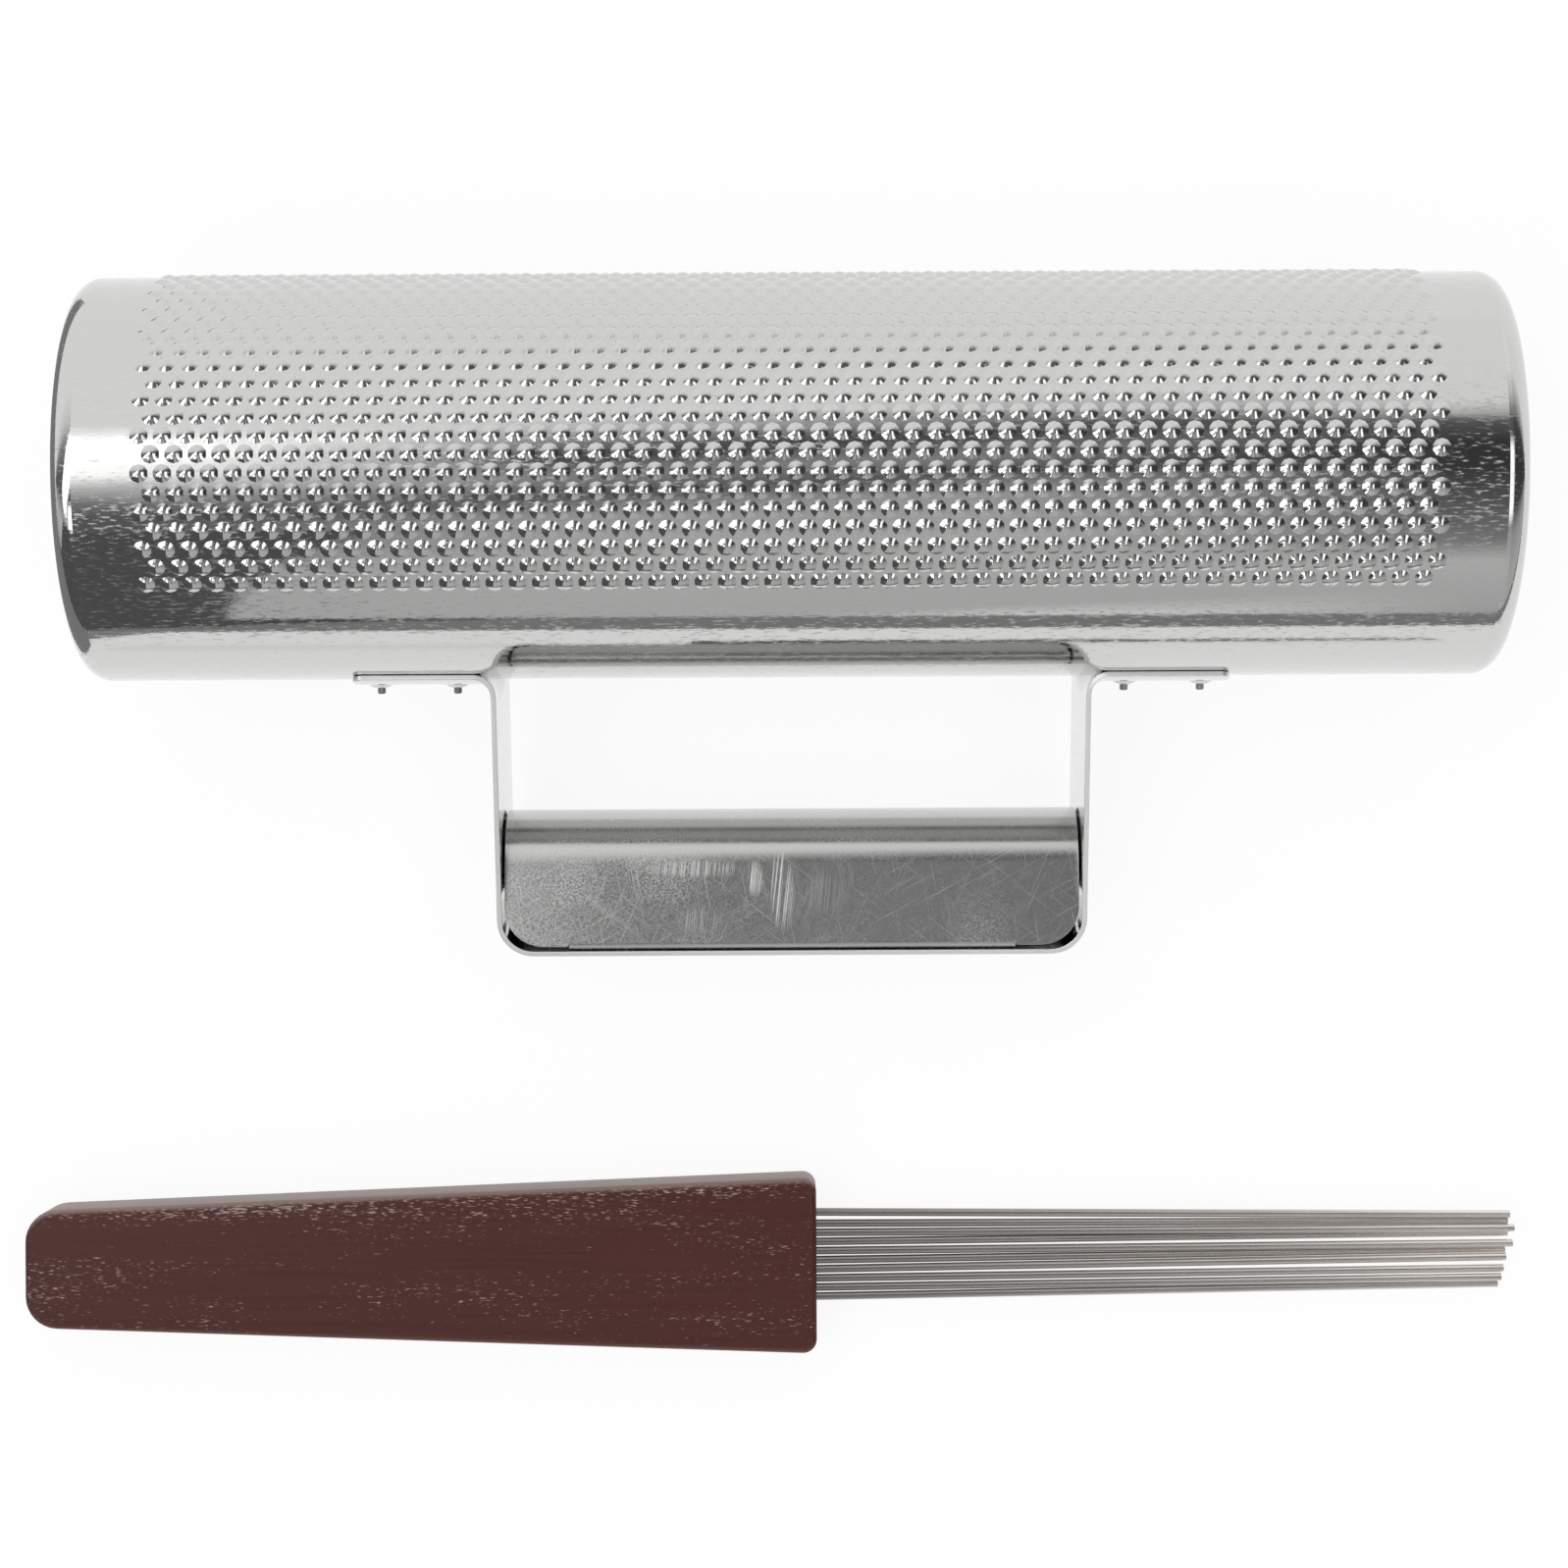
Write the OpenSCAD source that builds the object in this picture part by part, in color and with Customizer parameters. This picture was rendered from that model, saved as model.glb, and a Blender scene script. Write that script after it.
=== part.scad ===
// Metal guiro with a strap handle, and the wire scraper that plays it.
// Both lie on a table at z = 0: the tube along X, the handle towards -Y with its lower edge on the
// table, the scraper in front of it. Millimetres, +Z up, origin under the middle of the whole set.

/* [Tube] */
// Outer diameter of the rolled sheet
tube_d = 86; // [60:1:110]
// Length over both end caps
tube_l = 301; // [220:1:400]
// Thickness of the tube's sheet
sheet_t = 0.5; // [0.4:0.05:1]

/* [Embossed dots] */
// Distance between dots in a row
dot_pitch = 4.745; // [4.4:0.005:7]
// Distance between rows, round the tube
row_pitch = 3.93; // [3.8:0.01:7]
// Diameter of a dot at its foot
dot_d = 3.6; // [2.4:0.1:3.8]
// Diameter of its blunt top
dot_top_d = 1.4; // [0.8:0.1:2]
// Height of a dot
dot_h = 0.8; // [0.4:0.05:1.2]
// Least plain margin at each end of the tube, to the centres of the dots
plain_end = 17; // [14:0.5:40]
// Least angle of the plain band on the handle's side
plain_angle = 132; // [90:1:150]

/* [End caps] */
// Thickness of the pressed discs
cap_t = 0.6; // [0.4:0.05:1]
// Radius of the rounded edge
cap_edge_r = 5; // [3:0.5:9]
// Length of the skirt inside the tube
cap_skirt = 8; // [4:0.5:12]
// Gap between skirt and tube
cap_fit = 0.05; // [0.02:0.01:0.15]

/* [Handle strap] */
// Width of the flat strip
strap_w = 36.6; // [28:0.1:46]
// Thickness of the flat strip
strap_t = 1.1; // [0.8:0.1:2]
// Length of the handle over its two arms
handle_span = 127.8; // [110:0.1:150]
// Room for the hand between tube and grip
hand_gap = 31.2; // [20:0.1:45]
// Length of each foot, beyond its arm
foot_l = 29.4; // [27:0.1:40]
// Inside radius of the bend between foot and arm
foot_bend_r = 3.6; // [1:0.1:5]
// Inside radius of the bend between arm and base
base_bend_r = 6.8; // [4:0.1:9]
// Radius of the corners of the feet
foot_corner_r = 2; // [0.5:0.1:6]
// Gap between the feet and the tube that they are curved to
foot_fit = 0.05; // [0.02:0.01:0.3]

/* [Grip cover] */
// Width of the hood on the strap's base
grip_w = 36; // [28:0.1:38]
// Height of the hood on the strap's base
grip_h = 26.5; // [20:0.1:36]
// Radius of its round crest, from which the sides spread
grip_crest_r = 13; // [8:0.1:14]
// Thickness of its sheet
grip_t = 0.5; // [0.4:0.05:1]
// Gap between the hood's ends and the arms
grip_end_gap = 0.4; // [0.3:0.1:3]
// Radius of its lower corners, larger than the strap's bends
grip_corner_r = 8.4; // [7:0.1:12]
// Width of the edges folded in on the strap, where it is spot welded
grip_fold = 6; // [3:0.5:9]
// Length of those edges
grip_fold_l = 97; // [60:1:104]
// Outside radius of the fold
grip_fold_r = 1.3; // [0.8:0.1:2]
// Gap between the strap and the hood's cut edges beyond the folds
grip_edge_gap = 1; // [0.2:0.1:2]

/* [Rivets] */
// Diameter of the shank
rivet_d = 3.2; // [2.4:0.1:4]
// Diameter of the domed head
rivet_head_d = 6.5; // [5:0.1:8]
// Height of the domed head
rivet_head_h = 1.9; // [1.4:0.1:2.5]
// Height of the head's straight rim
rivet_rim_h = 0.5; // [0.2:0.1:0.8]
// Diameter of the set tail inside the tube
rivet_tail_d = 5; // [4.5:0.1:6]
// Length of the set tail
rivet_tail_l = 4; // [3:0.1:6]
// Distance between the two rivets of a foot
rivet_step = 16.6; // [12:0.1:18]
// Distance from the foot's end to the nearer rivet
rivet_edge = 4.1; // [3.5:0.1:7]
// Gap round the shanks in their holes
rivet_fit = 0.05; // [0.02:0.01:0.15]
// Diameter of the mandrel
mandrel_d = 1.8; // [1.2:0.1:2]
// Diameter of the mandrel's head
mandrel_head_d = 3; // [2.5:0.1:4]
// Height of the mandrel's head
mandrel_head_h = 1.5; // [1:0.1:2.5]
// Height of the broken stub above the rivet's head
mandrel_stub = 1.2; // [0.3:0.1:2]

/* [Scraper block] */
// Length of the wooden block
block_l = 176.5; // [120:0.1:200]
// Width at the butt end
butt_w = 26.6; // [20:0.1:34]
// Width at the wire end
wire_end_w = 39.1; // [30:0.1:50]
// Thickness of the block
block_t = 16; // [12:0.5:24]
// Radius of the butt end's corners, seen from above
butt_corner_r = 6.9; // [4:0.1:9]
// Radius of the wire end's corners, seen from above
wire_corner_r = 3.2; // [2.6:0.1:6]
// Radius of the long edges
block_edge_r = 1.3; // [0.5:0.1:2.5]

/* [Scraper wires] */
// Number of wires in the row
wire_count = 10; // [6:1:12]
// Diameter of a wire
wire_d = 1.8; // [1.2:0.05:2]
// Longest wire outside the block
wire_out = 157.1; // [100:0.1:180]
// Depth of the holes in the block
wire_in = 30; // [15:1:50]
// Gap between neighbouring wires at the block
wire_root_gap = 0.25; // [0.2:0.01:0.6]
// Wider gap beside the first wire at the block
first_wire_gap = 0.75; // [0.25:0.05:1]
// How much closer neighbouring wires lie at their tips, where the low ones reach under the others
wire_tip_draw = 0.32; // [0:0.01:0.34]
// How far the row of wires lies beside the block's middle
wire_row_shift = 1.35; // [-3:0.05:3]
// How far the tips lean to the same side
wire_lean = 0.65; // [-2:0.05:2]
// How far the low wires hang below the others at their tips
wire_droop = 1.8; // [1.7:0.1:4]
// Gap round a wire in its hole
wire_fit = 0.04; // [0.02:0.01:0.1]

/* [Layout] */
// Distance on the table between handle and scraper block
scraper_gap = 50.7; // [10:0.1:120]
// How far the tube's middle lies beyond the scraper's middle
guiro_shift = 4.6; // [-10:0.1:10]

/* [Hidden] */
$fn = 128;
// How far a cutting shape reaches past what it cuts
cut = 1;
tube_r = tube_d / 2;
bore_r = tube_r - sheet_t;
shell_l = tube_l - 2 * cap_edge_r;

// The rows lie on narrow flats just inside the round, so that each dot meets the sheet in a true circle.
flat_depth = 0.02;
row_step = 360 * row_pitch / (PI * tube_d);
row_count = floor((360 - plain_angle) / row_step);
dot_count = floor((tube_l - 2 * plain_end) / dot_pitch);
first_row = 180 - (row_count - 1) / 2 * row_step;
flat_r = tube_r * cos(row_step / 2) - flat_depth;
dot_sink = 0.1;

// Distances from the tube's axis, along the handle
base_in = tube_r + hand_gap + grip_h;
base_out = base_in + strap_t;
foot_in = tube_r + foot_fit;
foot_out = foot_in + strap_t;
foot_r = foot_bend_r + strap_t;
arm_start = foot_in + foot_r;

// Distances from the middle, along the tube
arm_out = handle_span / 2;
foot_start = arm_out - strap_t + foot_r;
foot_end = arm_out + foot_l;
grip_half_l = arm_out - strap_t - grip_end_gap;
rivet_places = [foot_end - rivet_edge, foot_end - rivet_edge - rivet_step];
tail_top = sqrt(pow(bore_r, 2) - pow(rivet_tail_d / 2, 2));
tail_end = tail_top - rivet_tail_l;

// The tube rolls on its dots until the strap's lower corner meets the table.
axis_z = flat_r + dot_h;
tilt = asin(axis_z / norm([base_out, strap_w / 2])) - atan(strap_w / 2 / base_out);
handle_reach = base_out * cos(tilt) + strap_w / 2 * sin(tilt);

// The scraper is centred on X, and the whole set on Y.
scraper_l = block_l + wire_out;
wire_face_x = block_l - scraper_l / 2;
scraper_from_axis = handle_reach + scraper_gap + wire_end_w / 2;
axis_y = (scraper_from_axis + wire_end_w / 2 - axis_z) / 2;
scraper_y = axis_y - scraper_from_axis;

// Hand-set wires: what is missing from each length, where the tips stray to, in shares of their draw,
// and how low they hang, in shares of the droop
wire_cuts = [1, 1.2, 0, 1.2, 0.4, 1.8, 1.9, 2.5, 3, 3.6];
tip_strays = [0, 0.6, 1.2, 2.7, 1.2, 1.75, 2.6, 0, -0.9, -0.5];
low_wires = [0, 0.7, 0, 1, 0, 0.9, 0, 0, 0, 0.65];

steel = [0.78, 0.78, 0.77];
dark_steel = [0.55, 0.55, 0.54];
aluminium = [0.7, 0.7, 0.69];
painted_wood = [0.29, 0.16, 0.15];

function wire_name(i) = str("wire_", i < 10 ? "0" : "", i);
function fan(i, gap) = ((wire_count + 1) / 2 - i) * (wire_d + gap);
function pick(list, i) = list[(i - 1) % len(list)];
function wire_root(i) = [
    wire_face_x,
    wire_row_shift + fan(i, wire_root_gap) + (i == 1 ? first_wire_gap - wire_root_gap : 0),
    block_t / 2
];
function wire_tip(i) =
    let (stray = pick(tip_strays, i) * wire_tip_draw)
    [
        scraper_l / 2 - pick(wire_cuts, i),
        wire_row_shift + wire_lean + fan(i, wire_root_gap - wire_tip_draw) + stray,
        block_t / 2 - pick(low_wires, i) * wire_droop
    ];

// Turns a shape of the guiro, drawn with its handle level towards -Y, to where it lies
module as_laid() {
    translate([guiro_shift, axis_y, axis_z]) rotate([tilt, 0, 0]) children();
}

// Extrudes a section drawn in Y and Z along the tube
module along_tube(length) {
    rotate([90, 0, 90]) linear_extrude(length, center = true) children();
}

// Moves a shape drawn upwards to a point on the tube, at an angle from the handle
module on_tube(x, angle, r) {
    translate([x, 0, 0]) rotate([90 - angle, 0, 0]) translate([0, 0, r]) children();
}

// Turns a shape drawn upwards so that it points along the handle, at each rivet
module at_rivets() {
    for (side = [-1, 1], place = rivet_places)
        translate([side * place, 0, 0]) rotate([90, 0, 0]) children();
}

module quarter_bend(outer_r, thickness) {
    intersection() {
        difference() {
            circle(outer_r);
            circle(outer_r - thickness);
        }
        square(outer_r + cut);
    }
}

// A blunt dot on a flat at z = 0, with its foot sunk a little into the sheet
module dot() {
    slope = (dot_d - dot_top_d) / dot_h;
    translate([0, 0, -dot_sink])
        cylinder(d1 = dot_d + slope * dot_sink, d2 = dot_top_d, h = dot_h + dot_sink);
}

module shell_section() {
    corner_r = flat_r / cos(row_step / 2);
    difference() {
        intersection() {
            circle(tube_r, $fn = 256);
            polygon(concat(
                [[-flat_r / cos(first_row), 0]],
                [for (k = [0:row_count - 2])
                    let (angle = first_row + (k + 0.5) * row_step)
                    corner_r * [-cos(angle), sin(angle)]]
            ));
        }
        circle(bore_r, $fn = 256);
    }
}

module embossed_shell() {
    color(steel) as_laid() difference() {
        union() {
            along_tube(shell_l) shell_section();
            for (row = [0:row_count - 1], i = [0:dot_count - 1]) {
                stagger = (row % 2 == 0 ? -0.25 : 0.25) * dot_pitch;
                x = (i - (dot_count - 1) / 2) * dot_pitch + stagger;
                on_tube(x, first_row + row * row_step, flat_r) dot($fn = 24);
            }
        }
        at_rivets() translate([0, 0, bore_r - cut])
            cylinder(d = rivet_d + 2 * rivet_fit, h = sheet_t + 2 * cut);
    }
}

module end_cap() {
    skirt_r = bore_r - cap_fit;
    edge_x = tube_r - cap_edge_r;
    rotate([0, 90, 0]) rotate_extrude() {
        translate([0, cap_edge_r - cap_t]) square([edge_x, cap_t]);
        translate([edge_x, 0]) quarter_bend(cap_edge_r, cap_t);
        translate([skirt_r - cap_t, -cap_skirt]) square([cap_t, cap_skirt]);
        translate([skirt_r - cap_t, 0]) square([tube_r - skirt_r + cap_t, cap_t]);
    }
}

module right_end_cap() {
    color(steel) as_laid() translate([shell_l / 2, 0, 0]) end_cap();
}

module left_end_cap() {
    color(steel) as_laid() mirror([1, 0, 0]) translate([shell_l / 2, 0, 0]) end_cap();
}

// A foot with its bend and the arm's first stretch, drawn with X out from the tube's axis and Y along it
module foot_section() {
    translate([foot_in, foot_start]) square([strap_t, foot_end - foot_start]);
    translate([arm_start, foot_start]) rotate(180) quarter_bend(foot_r, strap_t);
    translate([arm_start, arm_out - strap_t]) square(strap_t);
}

// An arm and half the base, seen along the strap's width, the arm drawn on to the tube's axis
module half_strap() {
    base_r = base_bend_r + strap_t;
    translate([arm_out - strap_t, -base_out + base_r]) square([strap_t, base_out - base_r]);
    translate([arm_out - base_r, -base_out + base_r]) rotate(-90) quarter_bend(base_r, strap_t);
    translate([0, -base_out]) square([arm_out - base_r, strap_t]);
}

// Rectangle about the origin with rounded corners
module rounded_plate(length, width, r) {
    square([length - 2 * r, width], center = true);
    square([length, width - 2 * r], center = true);
    for (x = [-1, 1], y = [-1, 1])
        translate([x * (length / 2 - r), y * (width / 2 - r)]) circle(r);
}

// The strap's feet, curved to the tube all the way across
module strap_feet() {
    intersection() {
        for (side = [0, 1])
            mirror([side, 0, 0]) rotate([0, 90, 0]) rotate_extrude() foot_section();
        rotate([90, 0, 0]) linear_extrude(base_out)
            rounded_plate(2 * foot_end, strap_w, foot_corner_r);
    }
}

module handle_strap() {
    color(steel) as_laid() difference() {
        union() {
            strap_feet();
            difference() {
                linear_extrude(strap_w, center = true) {
                    half_strap();
                    mirror([1, 0]) half_strap();
                }
                along_tube(2 * arm_out + cut) circle(arm_start);
            }
        }
        at_rivets() translate([0, 0, tube_r - cut])
            cylinder(d = rivet_d + 2 * rivet_fit, h = strap_t + 2 * cut);
    }
}

// The hood's outline, or the sheet's inner side, drawn in Y and Z with its crest towards the tube
module hood(inset) {
    crest_r = grip_crest_r - inset;
    fold_r = grip_fold_r - inset;
    crest = [-tube_r - hand_gap - grip_crest_r, 0];
    fold = [grip_fold_r - base_in, grip_w / 2 - grip_fold_r];
    run = fold - crest;
    lean = atan2(run.y, run.x) - acos((crest_r - fold_r) / norm(run));
    outward = [cos(lean), sin(lean)];
    side = [crest + crest_r * outward, fold + fold_r * outward, fold - [fold_r, 0]];
    translate(crest) circle(crest_r);
    for (up = [-1, 1])
        translate([fold.x, up * fold.y]) circle(fold_r);
    polygon(concat(side, [for (i = [2:-1:0]) [side[i].x, -side[i].y]]));
}

// The hood seen from its side, with rounded lower corners and the folded edges reaching the strap
module hood_side() {
    edge = base_in - grip_edge_gap;
    translate([-grip_half_l, -edge + grip_corner_r]) square([2 * grip_half_l, edge]);
    for (side = [-1, 1])
        translate([side * (grip_half_l - grip_corner_r), -edge + grip_corner_r]) circle(grip_corner_r);
    translate([-grip_half_l + grip_corner_r, -edge])
        square([2 * (grip_half_l - grip_corner_r), grip_corner_r]);
    translate([-grip_fold_l / 2, -base_in]) square([grip_fold_l, base_in]);
}

module grip_cover() {
    color(steel) as_laid() intersection() {
        along_tube(2 * grip_half_l) difference() {
            hood(0);
            hood(grip_t);
            translate([-base_in - cut, -grip_w / 2 + grip_fold])
                square([grip_t + 2 * cut, grip_w - 2 * grip_fold]);
        }
        linear_extrude(grip_w + cut, center = true) hood_side();
    }
}

// A blind rivet, with its axis along Z from the tube's axis outwards
module rivet_body() {
    dome_h = rivet_head_h - rivet_rim_h;
    dome_r = (pow(rivet_head_d / 2, 2) + pow(dome_h, 2)) / (2 * dome_h);
    difference() {
        union() {
            translate([0, 0, tail_end]) cylinder(d = rivet_tail_d, h = rivet_tail_l);
            translate([0, 0, tail_end]) cylinder(d = rivet_d, h = foot_out + rivet_head_h / 2 - tail_end);
            translate([0, 0, foot_out]) rotate_extrude() intersection() {
                translate([0, rivet_head_h - dome_r]) circle(dome_r);
                square([rivet_head_d / 2, rivet_head_h + cut]);
            }
        }
        translate([0, 0, tail_end - cut])
            cylinder(d = mandrel_d + 2 * rivet_fit, h = foot_out + rivet_head_h - tail_end + 2 * cut);
    }
}

module rivet_bodies() {
    color(aluminium) as_laid() at_rivets() rivet_body();
}

module rivet_mandrel() {
    translate([0, 0, tail_end - mandrel_head_h]) cylinder(d = mandrel_head_d, h = mandrel_head_h);
    translate([0, 0, tail_end])
        cylinder(d = mandrel_d, h = foot_out + rivet_head_h + mandrel_stub - tail_end);
}

module rivet_mandrels() {
    color(dark_steel) as_laid() at_rivets() rivet_mandrel();
}

// A round post of the block with rounded rims, from which the block is stretched
module block_corner(x, y, r) {
    translate([x, y, 0]) rotate_extrude($fn = 32) {
        square([r - block_edge_r, block_t]);
        translate([0, block_edge_r]) square([r, block_t - 2 * block_edge_r]);
        for (z = [block_edge_r, block_t - block_edge_r])
            translate([r - block_edge_r, z]) intersection() {
                circle(block_edge_r);
                translate([0, -block_edge_r]) square(2 * block_edge_r);
            }
    }
}

// A straight wire from its place in the block, drawn out along the line from root to tip
module wire_along(i, diameter, inside, outside) {
    root = wire_root(i);
    run = wire_tip(i) - root;
    translate(root)
        rotate([0, acos(run.z / norm(run)), atan2(run.y, run.x)])
        translate([0, 0, -inside])
        cylinder(d = diameter, h = inside + outside, $fn = 32);
}

module scraper_handle() {
    butt_y = butt_w / 2 - butt_corner_r;
    wire_end_y = wire_end_w / 2 - wire_corner_r;
    color(painted_wood) translate([0, scraper_y, 0]) difference() {
        hull() for (side = [-1, 1]) {
            block_corner(butt_corner_r - scraper_l / 2, side * butt_y, butt_corner_r);
            block_corner(wire_face_x - wire_corner_r, side * wire_end_y, wire_corner_r);
        }
        for (i = [1:wire_count])
            wire_along(i, wire_d + 2 * wire_fit, wire_in, cut);
    }
}

module wire(i) {
    color(dark_steel) translate([0, scraper_y, 0])
        wire_along(i, wire_d, wire_in, norm(wire_tip(i) - wire_root(i)));
}

embossed_shell();
left_end_cap();
right_end_cap();
handle_strap();
grip_cover();
rivet_bodies();
rivet_mandrels();
scraper_handle();
for (i = [1:wire_count])
    wire(i);
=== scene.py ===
"""Looks of a metal guiro and its wire scraper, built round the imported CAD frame."""

from math import acos, asin, atan, atan2, cos, degrees, hypot, pi, radians, sin, sqrt

import bmesh
import bpy
from mathutils import Matrix, Vector


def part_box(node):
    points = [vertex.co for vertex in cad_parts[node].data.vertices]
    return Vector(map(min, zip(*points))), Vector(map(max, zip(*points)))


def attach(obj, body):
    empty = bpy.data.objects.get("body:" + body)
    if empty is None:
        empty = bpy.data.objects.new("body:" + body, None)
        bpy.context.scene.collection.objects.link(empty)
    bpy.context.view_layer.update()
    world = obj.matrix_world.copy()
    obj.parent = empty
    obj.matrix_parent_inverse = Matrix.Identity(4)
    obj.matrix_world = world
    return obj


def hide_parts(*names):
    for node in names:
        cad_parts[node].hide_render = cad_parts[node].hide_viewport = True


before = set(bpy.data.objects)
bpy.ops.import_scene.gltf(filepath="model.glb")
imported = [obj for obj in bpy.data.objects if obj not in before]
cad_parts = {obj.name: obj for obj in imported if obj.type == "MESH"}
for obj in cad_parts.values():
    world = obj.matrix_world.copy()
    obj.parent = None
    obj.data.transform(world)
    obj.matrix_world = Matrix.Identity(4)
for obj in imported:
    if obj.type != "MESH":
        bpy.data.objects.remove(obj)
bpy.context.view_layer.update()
scene = bpy.context.scene

# Camera. The guiro lies on the table, rolled forward until the lower edge of its handle touches.
# The photograph looks straight down on the table, from about 0.73 m above the tube's axis.
MM = 0.001
# The strap's width and how far its base stands from the tube's axis, which set how far the guiro rolls
STRAP_W = 36.6
BASE_OUT = 101.8
CAMERA_PLACE = (-1.6, -65.9, 728.2)
CAMERA_ROLL = -0.3
FOCAL_PX = 3458
IMAGE_PX = 1598
SENSOR_MM = 36

left_cap_low, left_cap_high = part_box("left_end_cap")
right_cap_low, right_cap_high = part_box("right_end_cap")
tube_middle = (left_cap_low + left_cap_high + right_cap_low + right_cap_high) / 4
tilt = asin(tube_middle.z / MM / hypot(BASE_OUT, STRAP_W / 2)) - atan(STRAP_W / 2 / BASE_OUT)

# Pieces of the guiro are drawn in millimetres, with the tube's axis on X and the handle level towards -Y.
guiro_place = Matrix.Translation(tube_middle) @ Matrix.Rotation(tilt, 4, "X") @ Matrix.Scale(MM, 4)

camera = bpy.data.objects.new("camera", bpy.data.cameras.new("camera"))
camera.data.sensor_width = SENSOR_MM
camera.data.lens = FOCAL_PX / IMAGE_PX * SENSOR_MM
camera.matrix_world = (
    Matrix.Translation(tube_middle + MM * Vector(CAMERA_PLACE))
    @ Matrix.Rotation(radians(CAMERA_ROLL), 4, "Z")
)
scene.collection.objects.link(camera)
scene.camera = camera
scene.view_settings.view_transform = "Standard"

# Tube. Stainless sheet, embossed from the back with 43 rows of round dots, rolled to a cylinder and welded.
# Each row is shifted by half a pitch from the last; the handle's side and both ends stay plain.
TUBE_R = 43
SHEET_T = 0.5
DOT_PITCH = 4.745
DOT_COUNT = 56
ROW_COUNT = 43
ROW_PITCH = 3.93
BAND_STEPS = 30
MARGIN_STEPS = 2
SIDE_CUTS = 2
DOT_SIDES = 6 + 2 * SIDE_CUTS
# Radius and height of each ring of a dot, from its crisp foot to its crown
DOT_RINGS = ((1.93, 0.0), (1.28, 0.31), (0.64, 0.53))
DOT_H = 0.62
# The inset only adds the corners of a ring, which then go to their places
RING_INSET = 0.02
# Vertices closer than this become one
MERGE_GAP = 0.001


def linear(hex_colour):
    """Linear RGBA of an sRGB colour such as "#c8c8c6"."""
    channels = [int(hex_colour[i:i + 2], 16) / 255 for i in (1, 3, 5)]
    return [c / 12.92 if c <= 0.04045 else ((c + 0.055) / 1.055) ** 2.4 for c in channels] + [1]


def add(tree, kind, inputs=None, **settings):
    """Adds a node with its settings. An input that is a socket is linked, and any other value is set."""
    new = tree.nodes.new(kind)
    for name, value in settings.items():
        setattr(new, name, value)
    for name, value in (inputs or {}).items():
        if isinstance(value, bpy.types.NodeSocket):
            tree.links.new(value, new.inputs[name])
        else:
            new.inputs[name].default_value = value
    return new


def new_material(name):
    """An empty material and its node tree."""
    material = bpy.data.materials.new(name)
    material.use_nodes = True
    material.node_tree.nodes.clear()
    return material, material.node_tree


def streaks(tree, coords, length, width, depth, detail, turn=0):
    """Noise drawn out along X to streaks of a real size, turned by some degrees about Z."""
    drawn_out = add(tree, "ShaderNodeMapping", {
        "Vector": coords, "Rotation": (0, 0, radians(turn)), "Scale": (length * MM, width * MM, depth * MM)},
        vector_type="TEXTURE")
    noise = add(tree, "ShaderNodeTexNoise", {"Vector": drawn_out.outputs[0], "Scale": 1, "Detail": detail})
    return noise.outputs["Fac"]


def finish_piece(bm, name, material, place, sharp_angle=40):
    """Makes the mesh an object in its place, smooth apart from the edges sharper than the angle."""
    bmesh.ops.transform(bm, matrix=place, verts=bm.verts)
    mesh = bpy.data.meshes.new(name)
    bm.to_mesh(mesh)
    bm.free()
    mesh.shade_smooth()
    mesh.set_sharp_from_angle(angle=radians(sharp_angle))
    mesh.materials.append(material)
    piece = bpy.data.objects.new(name, mesh)
    scene.collection.objects.link(piece)
    return piece


# Bright-rolled stainless steel: a mirror with short rolling marks along the tube, which show as light dashes
# in dark reflections.
RIPPLE_LENGTH = 2.2
RIPPLE_WIDTH = 0.5
bright_steel, tree = new_material("bright-rolled stainless steel")
coords = add(tree, "ShaderNodeTexCoord").outputs["Object"]
ripple = streaks(tree, coords, RIPPLE_LENGTH, RIPPLE_WIDTH, RIPPLE_WIDTH, detail=3)
gloss = add(tree, "ShaderNodeMapRange", {
    "Value": ripple, "From Min": 0.52, "From Max": 0.72, "To Min": 0.04, "To Max": 0.36})
bump = add(tree, "ShaderNodeBump", {"Height": ripple, "Strength": 0.04, "Distance": 0.2 * MM})
steel = add(tree, "ShaderNodeBsdfPrincipled", {
    "Base Color": linear("#cfcfce"), "Metallic": 1, "Roughness": gloss.outputs[0],
    "Normal": bump.outputs[0]})
add(tree, "ShaderNodeOutputMaterial", {"Surface": steel.outputs[0]})

shell_low, shell_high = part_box("embossed_shell")
shell_l = (shell_high.x - shell_low.x) / MM
half_cell = DOT_PITCH / 2
half_cells = 2 * DOT_COUNT + 1
field_l = half_cells * half_cell
columns = half_cells + 2 * MARGIN_STEPS
rows = ROW_COUNT + BAND_STEPS
field_w = ROW_COUNT * ROW_PITCH
band_step = (2 * pi * TUBE_R - field_w) / BAND_STEPS
field_start = pi * TUBE_R - field_w / 2


def along(column):
    """Place of a grid line along the tube."""
    if column < MARGIN_STEPS:
        return -shell_l / 2 + column / MARGIN_STEPS * (shell_l - field_l) / 2
    if column > columns - MARGIN_STEPS:
        return -along(columns - column)
    return -field_l / 2 + (column - MARGIN_STEPS) * half_cell


def around(row):
    """Place of a grid line on the flat sheet, from the middle of the handle's side."""
    if row <= ROW_COUNT:
        return field_start + row * ROW_PITCH
    return field_start + field_w + (row - ROW_COUNT) * band_step


bm = bmesh.new()
bmesh.ops.create_grid(bm, x_segments=columns, y_segments=rows, size=0.5)
grid_place = {v: (round((v.co.x + 0.5) * columns), round((v.co.y + 0.5) * rows)) for v in bm.verts}
for v, (column, row) in grid_place.items():
    v.co = (along(column), around(row), 0)

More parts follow.
